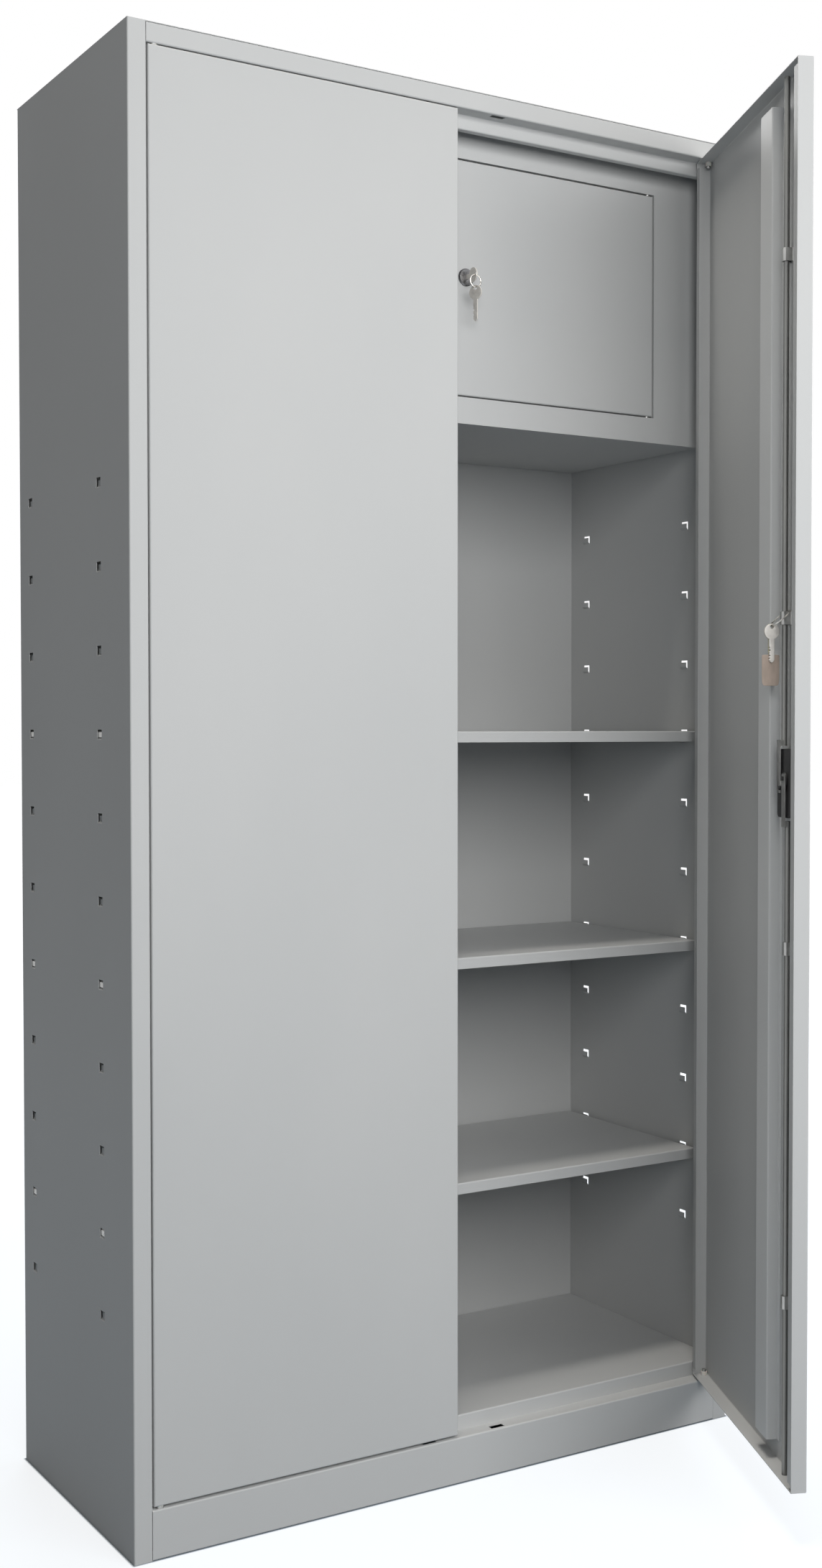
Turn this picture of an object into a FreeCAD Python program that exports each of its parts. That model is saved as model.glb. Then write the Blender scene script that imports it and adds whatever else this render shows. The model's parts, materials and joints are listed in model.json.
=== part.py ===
import FreeCAD, Part
import math
import os
from FreeCAD import Placement, Rotation, Vector

# Two-door steel office cabinet with adjustable shelves and an inner lockable box.
# X runs across the front, Y from the front to the back, Z up. The origin lies on the
# floor, in the middle of the plinth's foot flange. Millimetres.

# Overall size and sheet
WIDTH = 900.0
DEPTH = 380.0
HEIGHT = 1800.0
SHEET = 0.8
INNER_BEND = 1.2

# Front frame that the doors close into
JAMB = 23.5
JAMB_LIP = 12.0
HEADER = 24.0
HEADER_FLANGE = 20.0
STOP_DROP = 19.0
STOP_LIP = 10.0
PLINTH = 60.0
FOOT = 24.0
SILL_LAP = 16.0
SILL_DROP = 12.0
FLOOR_RISE = 20.0
REAR_FLANGE = 18.0
TOP_FLANGE = 20.0

# Shelf slots with their lugs, clips and shelves
SLOT_FRONT = 97.0
SLOT_REAR = 42.0
SLOT_LOW = 270.0
SLOT_PITCH = 100.8
SLOT_COUNT = 11
SLOT_WIDTH = 14.0
SLOT_HEIGHT = 12.0
LUG_MOUTH = 3.0
SHELF_ROWS = {"upper": 7, "middle": 4, "lower": 1}
SHELF_RISE = 4.0
SHELF_SETBACK = 64.0
SHELF_BACK_GAP = 2.0
SHELF_EDGE = 15.0
SHELF_LIP = 10.0
CLIP_SHEET = 1.2
CLIP_LEDGE = 12.0
CLIP_CLEARANCE = 0.3

# Doors and their pivots
DOOR_THICKNESS = 20.0
DOOR_LIP = 14.0
LIP_RELIEF = 9.0
HINGE_GAP = 2.0
MEETING_GAP = 2.0
DOOR_TOP_GAP = 1.5
DOOR_BOTTOM_GAP = 3.5
SWING_CLEARANCE = 0.4
PIVOT_INSET = 9.0
PIVOT_DEPTH = 6.0
PIN_RADIUS = 3.0
PIN_LENGTH = 10.0
PIN_SHOULDER_RADIUS = 5.0
PIN_CLEARANCE = 0.05
BUSH_WALL = 1.2
BUSH_COLLAR = 0.8
BUSH_LENGTH = 6.0
SEAT_CLEARANCE = 0.2
DOOR_OPEN_ANGLE = 66.7

# Hat stiffener inside each door
HAT_INSET = 130.0
HAT_TOP = 44.0
HAT_HEIGHT = 14.0
HAT_FOOT = 10.0
HAT_END_GAP = 25.0

# Turn-knob lock of the right door, with its two rods
LOCK_INSET = 63.0
LOCK_HEIGHT = 916.0
PLATE_THICKNESS = 2.0
CUP_WALL = 5.0
CUP_RIM = 4.0
CUP_DEPTH = 10.0
CUP_FLOOR = 1.8
CUP_CORNER = 6.0
KNOB_LENGTH = 34.0
KNOB_ROOM = 2.0
FINGER_ROOM = 20.0
KNOB_PROUD = 1.5
KNOB_WING = 6.0
KNOB_WALL = 1.6
HUB_WALL = 3.6
SPINDLE_RADIUS = 4.0
PLUG_RADIUS = 5.4
PLUG_LENGTH = 8.0
CAM_LENGTH = 30.0
CAM_WIDTH = 18.0
CAM_SHEET = 2.0
CRANK_PIN_RADIUS = 2.2
CRANK_SLACK = 0.5
SCREW_RADIUS = 3.4
SCREW_HEIGHT = 2.2
ROD_RADIUS = 3.5
ROD_DEPTH = 9.0
ROD_TRAVEL = 12.0
ROD_FLAT = 2.0
FORK_SHEET = 1.5
FORK_MARGIN = 3.0
FORK_FOOT = 7.0
GUIDE_SHEET = 1.2
GUIDE_LENGTH = 16.0
GUIDE_FOOT = 8.0
GUIDE_CLEARANCE = 0.4
GUIDE_NEAR = 202.0
GUIDE_END = 215.0
ROD_TIP = 0.3
ROD_SLOT_LENGTH = 20.0
ROD_SLOT_WIDTH = 9.0

# Slide bolts of the left door
BOLT_INSET = 40.0
BOLT_LENGTH = 95.0
BOLT_GUIDE_DROP = 40.0
BOLT_TAB_RADIUS = 3.0
BOLT_TAB_LENGTH = 11.0
BOLT_TAIL = 15.0

# Inner lockable box in the upper right
BOX_SETBACK = 60.0
BOX_WIDTH = 458.0
BOX_HEIGHT = 414.0
BOX_LEFT_STILE = 28.0
BOX_RIGHT_STILE = 90.0
BOX_LOWER_RAIL = 37.0
BOX_UPPER_RAIL = 69.0
BOX_DOOR_GAP = 2.0
BOX_DOOR_THICKNESS = 16.0
BOX_STOP_GAP = 2.0
BOX_STOP = 7.0
BOX_FLANGE = 15.0
BOX_PIVOT_INSET = 7.0
BOX_PIVOT_DEPTH = 4.6
BOX_PIN_RADIUS = 2.0
BOX_PIN_LENGTH = 7.0
BOX_PIN_SHOULDER_RADIUS = 3.6
BOX_LOCK_INSET = 28.0
BOX_LOCK_RISE = 155.0
BOX_PLUG_RADIUS = 6.0
BARREL_WALL = 3.0
BOX_LOCK_RIM = 3.0
RIM_LAP = 2.5
BOX_CAM_WIDTH = 14.0
BOX_CAM_SHEET = 2.0
BOX_CAM_GAP = 1.5
BOX_CAM_LAP = 4.0
NUT_HEIGHT = 5.0
NUT_WALL = 3.0
NUT_SIDES = 6

# Keys of the inner box, and the spare keys that hang in the right door
KEY_BOW_RADIUS = 9.5
KEY_SHEET = 2.0
KEY_BLADE_WIDTH = 6.5
KEY_BLADE_LENGTH = 22.0
KEY_NECK = 6.0
KEY_HOLE_RADIUS = 2.5
KEY_RIM = 1.0
KEY_PLAY = 0.2
RING_RADIUS = 8.0
RING_WIRE = 0.8
RING_SLACK = 0.6
RING_SIDES = 8
HUNG_KEY_TURN = 25.0
SPARE_RING_RADIUS = 15.0
SPARE_RING_TILT = 40.0
SPARE_RING_LIFT = 0.9
SPARE_SPACING = 2.4
TAG_SHEET = 1.0
TAG_WIDTH = 22.0
TAG_HEIGHT = 38.0
TAG_STRAP_WIDTH = 7.0
TAG_STRAP_LENGTH = 34.0
TAG_CORNER = 3.0

# Planes and places that follow from the sizes above
BEND = SHEET + INNER_BEND
FRONT = -FOOT / 2
BACK = FRONT + DEPTH
RIGHT = WIDTH / 2
LEFT = -RIGHT
PIVOT_Y = FRONT + PIVOT_DEPTH
STOP = PIVOT_Y + math.hypot(PIVOT_INSET, DOOR_THICKNESS - PIVOT_DEPTH) + SWING_CLEARANCE
HEADER_LOW = HEIGHT - HEADER
FLOOR_TOP = PLINTH + FLOOR_RISE
TOP_UNDER = HEIGHT - SHEET
BACK_SHEET = BACK - 2 * SHEET
REAR_EDGE = BACK - BEND
WALL = RIGHT - SHEET
SLOT_COLUMNS = (FRONT + SLOT_FRONT, BACK - SLOT_REAR)
LUG_WIDTH = SLOT_WIDTH - 2 * CLIP_CLEARANCE
LUG_OFFSET = SHEET + CLIP_SHEET + 2 * CLIP_CLEARANCE
CLIP_FACE = WALL - LUG_OFFSET - CLIP_CLEARANCE - CLIP_SHEET
SHELF_SIDE = CLIP_FACE - CLIP_CLEARANCE
DOOR_FREE = MEETING_GAP / 2
DOOR_HINGE = RIGHT - JAMB - HINGE_GAP
DOOR_LOW = PLINTH + DOOR_BOTTOM_GAP
DOOR_HIGH = HEADER_LOW - DOOR_TOP_GAP
DOOR_BACK = FRONT + DOOR_THICKNESS
DOOR_SKIN = FRONT + SHEET
PIVOT_X = DOOR_HINGE - PIVOT_INSET
LOCK_X = DOOR_FREE + LOCK_INSET
CUP_HALF_WIDTH = KNOB_LENGTH / 2 + KNOB_ROOM + CUP_WALL
CUP_HALF_HEIGHT = KNOB_LENGTH / 2 + FINGER_ROOM + CUP_WALL
CUP_FRONT = FRONT - PLATE_THICKNESS
CUP_INSIDE = FRONT + CUP_DEPTH
CUP_BACK = CUP_INSIDE + CUP_FLOOR
KNOB_FRONT = FRONT - KNOB_PROUD
CAM_FRONT = CUP_BACK + SEAT_CLEARANCE
CAM_BACK = CAM_FRONT + CAM_SHEET
CRANK_SIDE = ROD_TRAVEL / 2
CRANK_RADIUS = CRANK_SIDE * math.sqrt(2)
ROD_SIDE = (CRANK_SIDE + CRANK_RADIUS) / 2
ROD_Y = FRONT + ROD_DEPTH
ROD_FLAT_Y = ROD_Y + ROD_RADIUS - ROD_FLAT
ROD_START = CUP_HALF_HEIGHT + CUP_RIM
ROD_ROOM = ROD_RADIUS + GUIDE_CLEARANCE
GUIDE_HEIGHT = ROD_DEPTH - SHEET + ROD_ROOM
BOLT_X = DOOR_FREE + BOLT_INSET
KEYWAY_WIDTH = KEY_SHEET + 2 * KEY_PLAY
KEYWAY_HEIGHT = KEY_BLADE_WIDTH + 2 * KEY_PLAY
KEY_HOLE_OFFSET = KEY_BOW_RADIUS - KEY_HOLE_RADIUS - KEY_RIM
KEY_REACH = KEY_BOW_RADIUS + KEY_NECK
RING_DROP = KEY_HOLE_RADIUS - RING_WIRE - RING_SLACK
BOX_FRONT = FRONT + BOX_SETBACK
BOX_X = RIGHT - BOX_WIDTH
BOX_LOW = HEIGHT - BOX_HEIGHT
BOX_DOOR_LEFT = BOX_X + BOX_LEFT_STILE
BOX_DOOR_RIGHT = RIGHT - BOX_RIGHT_STILE
BOX_DOOR_LOW = BOX_LOW + BOX_LOWER_RAIL
BOX_DOOR_HIGH = HEIGHT - BOX_UPPER_RAIL
BOX_PIVOT_X = BOX_DOOR_RIGHT - BOX_PIVOT_INSET
BOX_PIVOT_Y = BOX_FRONT + BOX_PIVOT_DEPTH
BOX_REVEAL = BOX_FRONT + BOX_DOOR_THICKNESS + BOX_STOP_GAP
BOX_LOCK_X = BOX_DOOR_LEFT + BOX_LOCK_INSET
BOX_LOCK_Z = BOX_DOOR_LOW + BOX_LOCK_RISE
BOX_LOCK_FRONT = BOX_FRONT - BOX_LOCK_RIM
BARREL_RADIUS = BOX_PLUG_RADIUS + BARREL_WALL
BOX_CAM_FRONT = BOX_REVEAL + SHEET + BOX_CAM_GAP
BOX_CAM_REACH = BOX_LOCK_INSET + BOX_DOOR_GAP - BOX_STOP + BOX_CAM_LAP
KEY_BOW_Y = BOX_LOCK_FRONT - KEY_REACH


def box(low, high):
    """Block between two opposite corners."""
    low = Vector(*low)
    size = Vector(*high) - low
    return Part.makeBox(size.x, size.y, size.z, low)


def span(one, two):
    """Block between any two opposite corners."""
    low = [min(a, b) for a, b in zip(one, two)]
    high = [max(a, b) for a, b in zip(one, two)]
    return box(low, high)


def rod(start, direction, radius, length):
    """Round bar from a point along a direction."""
    return Part.makeCylinder(radius, length, Vector(*start), Vector(*direction))


def peg(x, z, front, back, radius):
    """Round bar along Y between two depths."""
    return rod((x, front, z), (0, 1, 0), radius, back - front)


def rounded_line(points, radii, arcs=True):
    """Edges along points, with each inner corner turned on its radius or cut flat across it."""
    edges = []
    start = points[0]
    for corner in range(1, len(points) - 1):
        here = points[corner]
        before = (points[corner - 1] - here).normalize()
        after = (points[corner + 1] - here).normalize()
        half = before.getAngle(after) / 2
        reach = radii[corner] / math.tan(half)
        middle = (before + after).normalize()
        crown = here + middle * (radii[corner] / math.sin(half) - radii[corner])
        entry = here + before * reach
        leave = here + after * reach
        edges.append(Part.LineSegment(start, entry).toShape())
        turn = Part.Arc(entry, crown, leave) if arcs else Part.LineSegment(entry, leave)
        edges.append(turn.toShape())
        start = leave
    edges.append(Part.LineSegment(start, points[-1]).toShape())
    return edges


def folded(path, sheet=SHEET, bend=BEND, arcs=True):
    """Section of a folded sheet. The path is one of its faces, the sheet lies to the left."""
    near = [Vector(a, b, 0) for a, b in path]
    steps = [(b - a).normalize() for a, b in zip(near, near[1:])]
    sides = [Vector(-s.y, s.x, 0) for s in steps]
    far = [near[0] + sides[0] * sheet]
    near_radii = [0]
    far_radii = [0]
    for point, one, two, old, new in zip(near[1:-1], sides, sides[1:], steps, steps[1:]):
        far.append(point + (one + two) * (sheet / (1 + one.dot(two))))
        turns_left = old.cross(new).z > 0
        near_radii.append(bend if turns_left else bend - sheet)
        far_radii.append(bend - sheet if turns_left else bend)
    far.append(near[-1] + sides[-1] * sheet)
    edges = rounded_line(near, near_radii + [0], arcs)
    edges.append(Part.LineSegment(near[-1], far[-1]).toShape())
    edges += rounded_line(far[::-1], (far_radii + [0])[::-1], arcs)
    edges.append(Part.LineSegment(far[0], near[0]).toShape())
    return Part.Face(Part.Wire(edges))


def upright(section, low, high):
    """Section in X and Y carried up from one height to another."""
    solid = section.extrude(Vector(0, 0, high - low))
    solid.translate(Vector(0, 0, low))
    return solid


def across(section, left, right):
    """Section in Y and Z carried along X."""
    solid = section.extrude(Vector(0, 0, right - left))
    solid.Placement = Placement(Vector(left, 0, 0), Rotation(Vector(1, 1, 1), 120))
    return solid


def inward(section, front, back):
    """Section in X and Z carried along Y."""
    solid = section.extrude(Vector(0, 0, back - front))
    solid.Placement = Placement(Vector(0, back, 0), Rotation(Vector(1, 0, 0), 90))
    return solid


def stadium(x, z, half_length, radius):
    """Flat outline with two round ends, upright in X and Z, about a centre."""
    run = half_length - radius
    top = Vector(x, z + run, 0)
    low = Vector(x, z - run, 0)
    side = Vector(radius, 0, 0)
    end = Vector(0, radius, 0)
    edges = [
        Part.LineSegment(low + side, top + side).toShape(),
        Part.Arc(top + side, top + end, top - side).toShape(),
        Part.LineSegment(top - side, low - side).toShape(),
        Part.Arc(low - side, low - end, low + side).toShape(),
    ]
    return Part.Face(Part.Wire(edges))


def regular_points(sides, radius):
    """Closed outline of a regular shape about the origin, with flats at its four quarters."""
    turns = [math.tau * (side + 0.5) / sides for side in range(sides + 1)]
    return [Vector(radius * math.cos(turn), radius * math.sin(turn), 0) for turn in turns]


def level_edges(solid, axis, level):
    """Edges that lie whole in one plane across an axis."""
    return [e for e in solid.Edges if all(abs(v.Point[axis] - level) < 1e-6 for v in e.Vertexes)]


def tray(low, high, axis, skin_is_low, sheet=SHEET, bend=BEND):
    """Sheet folded into a shallow tray, open on the side away from its flat skin."""
    inner_low = [c + sheet for c in low]
    inner_high = [c - sheet for c in high]
    if skin_is_low:
        inner_high[axis] = high[axis] + sheet
        skin, inside = low[axis], inner_low[axis]
    else:
        inner_low[axis] = low[axis] - sheet
        skin, inside = high[axis], inner_high[axis]
    outer = box(low, high)
    outer = outer.makeFillet(bend, level_edges(outer, axis, skin))
    hollow = box(inner_low, inner_high)
    hollow = hollow.makeFillet(bend - sheet, level_edges(hollow, axis, inside))
    return outer.cut(hollow)


def mirrored(shape):
    """The same piece on the other side of the cabinet."""
    return shape.mirror(Vector(0, 0, 0), Vector(1, 0, 0))


def joined(pieces):
    """One solid from pieces that share faces or volume."""
    return pieces[0].multiFuse(pieces[1:]).removeSplitter()


def slot_height(row):
    """Middle of the shelf slots in a row, counted from the lowest."""
    return SLOT_LOW + SLOT_PITCH * row


def lug_top(row):
    """Top edge of the lugs in a row."""
    return slot_height(row) + SLOT_HEIGHT / 2 - LUG_MOUTH


def lug_foot(row):
    """Lower edge of the slots in a row, where their lugs leave the wall."""
    return slot_height(row) - SLOT_HEIGHT / 2


def shelf_lug(y, row):
    """Tongue lanced from the right side wall and pressed inward, open at its top."""
    face = RIGHT - LUG_OFFSET
    foot = lug_foot(row)
    path = [(RIGHT, foot), (face, foot + LUG_OFFSET), (face, lug_top(row))]
    section = folded(path, arcs=False)
    return inward(section, y - LUG_WIDTH / 2, y + LUG_WIDTH / 2)


def shelf_slot(y, row):
    """Cutter for a slot in the right side wall."""
    low = (WALL - SHEET, y - SLOT_WIDTH / 2, lug_foot(row))
    return box(low, (RIGHT + SHEET, y + SLOT_WIDTH / 2, lug_foot(row) + SLOT_HEIGHT))


def side_panel():
    """Right side: jamb, rebate wall, side wall and rear flange folded from one sheet."""
    path = [
        (RIGHT - JAMB + JAMB_LIP, STOP),
        (RIGHT - JAMB, STOP),
        (RIGHT - JAMB, FRONT),
        (RIGHT, FRONT),
        (RIGHT, BACK),
        (RIGHT - REAR_FLANGE, BACK),
    ]
    panel = upright(folded(path), 0, TOP_UNDER)
    spots = [(y, row) for y in SLOT_COLUMNS for row in range(SLOT_COUNT)]
    panel = panel.cut(Part.makeCompound([shelf_slot(*spot) for spot in spots]))
    return joined([panel] + [shelf_lug(*spot) for spot in spots])


def back_panel():
    """Flat rear sheet, welded inside the rear flanges of the two sides."""
    return box((LEFT + BEND, BACK_SHEET, 0), (RIGHT - BEND, BACK - SHEET, TOP_UNDER))


def top_panel():
    """Top sheet that laps the sides, with flanges down along the side walls and the back."""
    low = TOP_UNDER - TOP_FLANGE
    sheet = box((LEFT, FRONT, TOP_UNDER), (RIGHT, BACK, HEIGHT))
    right = box((WALL - SHEET, STOP, low), (WALL, REAR_EDGE, TOP_UNDER))
    rear = box((LEFT + SHEET, REAR_EDGE - SHEET, low), (WALL, REAR_EDGE, TOP_UNDER))
    return joined([sheet, right, mirrored(right), rear])


def rod_slot(x, y, z):
    """Cutter for a long slot that lets a lock rod through a level sheet."""
    half = Vector(ROD_SLOT_LENGTH / 2, ROD_SLOT_WIDTH / 2, SHEET * 2)
    return box(Vector(x, y, z) - half, Vector(x, y, z) + half)


def rod_slots(z):
    """Slots over or under both lock rods' and slide bolts' ends."""
    return Part.makeCompound([rod_slot(LOCK_X, ROD_Y, z), rod_slot(-BOLT_X, ROD_Y, z)])


def header_rail():
    """Front rail under the top: fascia, rebate and the flange that the doors stop on."""
    path = [
        (FRONT + HEADER_FLANGE, TOP_UNDER),
        (FRONT, TOP_UNDER),
        (FRONT, HEADER_LOW),
        (STOP, HEADER_LOW),
        (STOP, HEADER_LOW - STOP_DROP),
        (STOP + STOP_LIP, HEADER_LOW - STOP_DROP),
    ]
    rail = across(folded(path), LEFT + JAMB, RIGHT - JAMB)
    return rail.cut(rod_slots(HEADER_LOW))


def plinth_sill():
    """Kick plate with its foot flange on the floor and the sill under the doors."""
    path = [
        (STOP + SILL_LAP, PLINTH - SILL_DROP),
        (STOP + SILL_LAP, PLINTH),
        (FRONT, PLINTH),
        (FRONT, 0),
        (FRONT + FOOT, 0),
    ]
    sill = across(folded(path), LEFT + JAMB, RIGHT - JAMB)
    return sill.cut(rod_slots(PLINTH))


def floor_panel():
    """Bottom of the storage space. Its front flange stands on the sill as the lower stop."""
    low = (LEFT + SHEET, STOP, PLINTH)
    return tray(low, (WALL, REAR_EDGE, FLOOR_TOP), 2, False)


def shelf(row):
    """Shelf tray with its edges folded down, and lips under the front and back edges."""
    top = slot_height(row) + SHELF_RISE
    under = top - SHELF_EDGE
    front = FRONT + SHELF_SETBACK
    rear = REAR_EDGE - SHELF_BACK_GAP
    pan = tray((-SHELF_SIDE, front, under), (SHELF_SIDE, rear, top), 2, False)
    inner = SHELF_SIDE - SHEET
    lips = [
        box((-inner, front, under), (inner, front + SHELF_LIP, under + SHEET)),
        box((-inner, rear - SHELF_LIP, under), (inner, rear, under + SHEET)),
    ]
    return joined([pan] + lips)


def shelf_clip(y, row):
    """Hook clip: it hangs over a lug, and its ledge carries the shelf's edge."""
    ledge = slot_height(row) + SHELF_RISE - SHELF_EDGE
    tail = lug_foot(row) + LUG_OFFSET + CLIP_CLEARANCE
    head = lug_top(row) + CLIP_SHEET
    behind = WALL - CLIP_CLEARANCE
    path = [
        (behind, tail),
        (behind, head),
        (CLIP_FACE, head),
        (CLIP_FACE, ledge),
        (CLIP_FACE - CLIP_LEDGE, ledge),
    ]
    section = folded(path, CLIP_SHEET, CLIP_SHEET + CLIP_CLEARANCE, False)
    return inward(section, y - LUG_WIDTH / 2, y + LUG_WIDTH / 2)


def shelf_clips(row):
    """The four clips of one shelf."""
    right = [shelf_clip(y, row) for y in SLOT_COLUMNS]
    return Part.makeCompound(right + [mirrored(clip) for clip in right])


def hinge_pin(x, y, seat, way, gap, radius, length, shoulder_radius):
    """Pivot pin with a shoulder that fills the gap to its door. The way is +1 up, -1 down."""
    shoulder = rod((x, y, seat), (0, 0, way), shoulder_radius, gap - SEAT_CLEARANCE)
    return joined([shoulder, rod((x, y, seat), (0, 0, way), radius, gap + length)])


def door_pins():
    """Pivot pins of the right door, on the sill and under the header."""
    size = (PIN_RADIUS, PIN_LENGTH, PIN_SHOULDER_RADIUS)
    low = hinge_pin(PIVOT_X, PIVOT_Y, PLINTH, 1, DOOR_BOTTOM_GAP - BUSH_COLLAR, *size)
    high = hinge_pin(PIVOT_X, PIVOT_Y, HEADER_LOW, -1, DOOR_TOP_GAP - BUSH_COLLAR, *size)
    return Part.makeCompound([low, high])


def hinge_bush(x, y, face, way, pin_radius):
    """Plastic bush in a door's end flange. Its collar turns on the pin's shoulder."""
    bore = pin_radius + PIN_CLEARANCE
    sleeve = rod((x, y, face), (0, 0, way), bore + BUSH_WALL, BUSH_LENGTH)
    collar = rod((x, y, face), (0, 0, -way), PIN_SHOULDER_RADIUS, BUSH_COLLAR)
    hole = rod((x, y, face - way * BUSH_LENGTH), (0, 0, way), bore, 2 * BUSH_LENGTH)
    return joined([sleeve, collar]).cut(hole)


def door_bushes():
    """Bushes of the right door, closed."""
    low = hinge_bush(PIVOT_X, PIVOT_Y, DOOR_LOW, 1, PIN_RADIUS)
    high = hinge_bush(PIVOT_X, PIVOT_Y, DOOR_HIGH, -1, PIN_RADIUS)
    return Part.makeCompound([low, high])


def flange_hole(x, y, z, radius):
    """Cutter for a round hole through a level flange."""
    return rod((x, y, z - 2 * SHEET), (0, 0, 1), radius, 4 * SHEET)


def door_pan(rod_x):
    """Right door, closed: tray with lips on its upright edges and holes in its end flanges."""
    low = (DOOR_FREE, FRONT, DOOR_LOW)
    pan = tray(low, (DOOR_HINGE, DOOR_BACK, DOOR_HIGH), 1, True)
    lip_y = DOOR_BACK - SHEET
    foot = DOOR_LOW + LIP_RELIEF
    head = DOOR_HIGH - LIP_RELIEF
    lips = [
        box((DOOR_FREE, lip_y, foot), (DOOR_FREE + DOOR_LIP, DOOR_BACK, head)),
        box((DOOR_HINGE - DOOR_LIP, lip_y, foot), (DOOR_HINGE, DOOR_BACK, head)),
    ]
    bush_hole = PIN_RADIUS + PIN_CLEARANCE + BUSH_WALL
    holes = []
    for z in (DOOR_LOW, DOOR_HIGH):
        holes.append(flange_hole(PIVOT_X, PIVOT_Y, z, bush_hole))
        holes.append(flange_hole(rod_x(z), ROD_Y, z, ROD_ROOM))
    return joined([pan] + lips).cut(Part.makeCompound(holes))


def hat_section(x, half_top, height, foot, sheet, arcs=True):
    """Section of a hat-shaped strip on a door's skin, with the hat's inner width and height."""
    path = [
        (x - half_top - foot, DOOR_SKIN),
        (x - half_top, DOOR_SKIN),
        (x - half_top, DOOR_SKIN + height),
        (x + half_top, DOOR_SKIN + height),
        (x + half_top, DOOR_SKIN),
        (x + half_top + foot, DOOR_SKIN),
    ]
    return folded(path, sheet, sheet + INNER_BEND, arcs)


def door_stiffener():
    """Hat-section strip welded down the inside of the right door."""
    section = hat_section(DOOR_FREE + HAT_INSET, HAT_TOP / 2, HAT_HEIGHT, HAT_FOOT, SHEET)
    return upright(section, DOOR_LOW + HAT_END_GAP, DOOR_HIGH - HAT_END_GAP)


def rod_guide(x, z):
    """Strap that holds a rod against the door's skin and lets it slide."""
    section = hat_section(x, ROD_ROOM, GUIDE_HEIGHT, GUIDE_FOOT, GUIDE_SHEET, False)
    return upright(section, z - GUIDE_LENGTH / 2, z + GUIDE_LENGTH / 2)


def upper_rod_x():
    """Line of the rod that the lock pushes up."""
    return LOCK_X + ROD_SIDE


def lower_rod_x():
    """Line of the rod that the lock pushes down."""
    return LOCK_X - ROD_SIDE


def lock_rod_x(z):
    """Line of the lock rod that ends at a height."""
    return upper_rod_x() if z > LOCK_HEIGHT else lower_rod_x()


def rounded_block(half_width, half_height, front, back, corner):
    """Block about the lock's axis with its four edges along Y rounded."""
    low = (LOCK_X - half_width, front, LOCK_HEIGHT - half_height)
    block = box(low, (LOCK_X + half_width, back, LOCK_HEIGHT + half_height))
    along = [e for e in block.Edges if abs(e.tangentAt(e.FirstParameter).y) > 0.5]
    return block.makeFillet(corner, along)


def cup_block(grow, front, back, corner):
    """Block with the outline of the lock's finger cup, larger by a margin."""
    return rounded_block(CUP_HALF_WIDTH + grow, CUP_HALF_HEIGHT + grow, front, back, corner)


def right_door_pan():
    """Right door, closed, with the opening for the lock."""
    opening = cup_block(SEAT_CLEARANCE, FRONT - SHEET, DOOR_SKIN + SHEET, CUP_CORNER)
    return door_pan(lock_rod_x).cut(opening)


def left_door_pan():
    """Left door, closed."""
    return mirrored(door_pan(lambda z: BOLT_X))


def lock_housing():
    """Moulded finger cup of the lock: plate outside, cup through the skin, spindle hole."""
    plate = cup_block(CUP_RIM, CUP_FRONT, FRONT, CUP_CORNER + CUP_RIM)
    cup = cup_block(0, FRONT, CUP_BACK, CUP_CORNER)
    hollow = cup_block(-CUP_WALL, CUP_FRONT - SHEET, CUP_INSIDE, CUP_CORNER)
    hole = peg(LOCK_X, LOCK_HEIGHT, FRONT, CAM_FRONT, SPINDLE_RADIUS + PIN_CLEARANCE)
    return joined([plate, cup]).cut(hollow).cut(hole)


def lock_knob():
    """Wing knob in the finger cup, with its hub and the spindle through the cup."""
    shoulder = KNOB_FRONT + KNOB_WING
    outline = stadium(LOCK_X, LOCK_HEIGHT, KNOB_LENGTH / 2, PLUG_RADIUS + KNOB_WALL)
    wing = inward(outline, KNOB_FRONT, shoulder)
    hub = peg(LOCK_X, LOCK_HEIGHT, shoulder, CUP_INSIDE - SEAT_CLEARANCE, PLUG_RADIUS + HUB_WALL)
    spindle = peg(LOCK_X, LOCK_HEIGHT, shoulder, CAM_BACK, SPINDLE_RADIUS)
    bore_end = KNOB_FRONT + PLUG_LENGTH + SEAT_CLEARANCE
    bore = peg(LOCK_X, LOCK_HEIGHT, KNOB_FRONT, bore_end, PLUG_RADIUS + PIN_CLEARANCE)
    return joined([wing, hub, spindle]).cut(bore)


def keyway(x, z, front, back):
    """Cutter for the upright key slot in a lock plug."""
    low = (x - KEYWAY_WIDTH / 2, front - SHEET, z - KEYWAY_HEIGHT / 2)
    return box(low, (x + KEYWAY_WIDTH / 2, back, z + KEYWAY_HEIGHT / 2))


def lock_plug():
    """Key plug in the middle of the knob."""
    plug = peg(LOCK_X, LOCK_HEIGHT, KNOB_FRONT, KNOB_FRONT + PLUG_LENGTH, PLUG_RADIUS)
    return plug.cut(keyway(LOCK_X, LOCK_HEIGHT, KNOB_FRONT, KNOB_FRONT + PLUG_LENGTH / 2))


def crank_spot(way):
    """Middle of a drive pin with the rods drawn in: +1 drives the upper rod, -1 the lower."""
    return Vector(LOCK_X + way * CRANK_SIDE, CAM_FRONT, LOCK_HEIGHT - way * CRANK_SIDE)


def lock_cam():
    """Cam plate on the spindle, with one drive pin for each rod."""
    outline = stadium(0, 0, CAM_LENGTH / 2, CAM_WIDTH / 2)
    plate = inward(outline, 0, CAM_SHEET)
    plate.rotate(Vector(0, 0, 0), Vector(0, 1, 0), -45)
    plate.translate(Vector(LOCK_X, CAM_FRONT, LOCK_HEIGHT))
    reach = CAM_SHEET + CRANK_SLACK + FORK_SHEET + CRANK_SLACK
    pins = [rod(crank_spot(way), (0, 1, 0), CRANK_PIN_RADIUS, reach) for way in (1, -1)]
    hole = peg(LOCK_X, LOCK_HEIGHT, CAM_FRONT - SHEET, CAM_BACK + SHEET, SPINDLE_RADIUS)
    return joined([plate] + pins).cut(hole)


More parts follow.
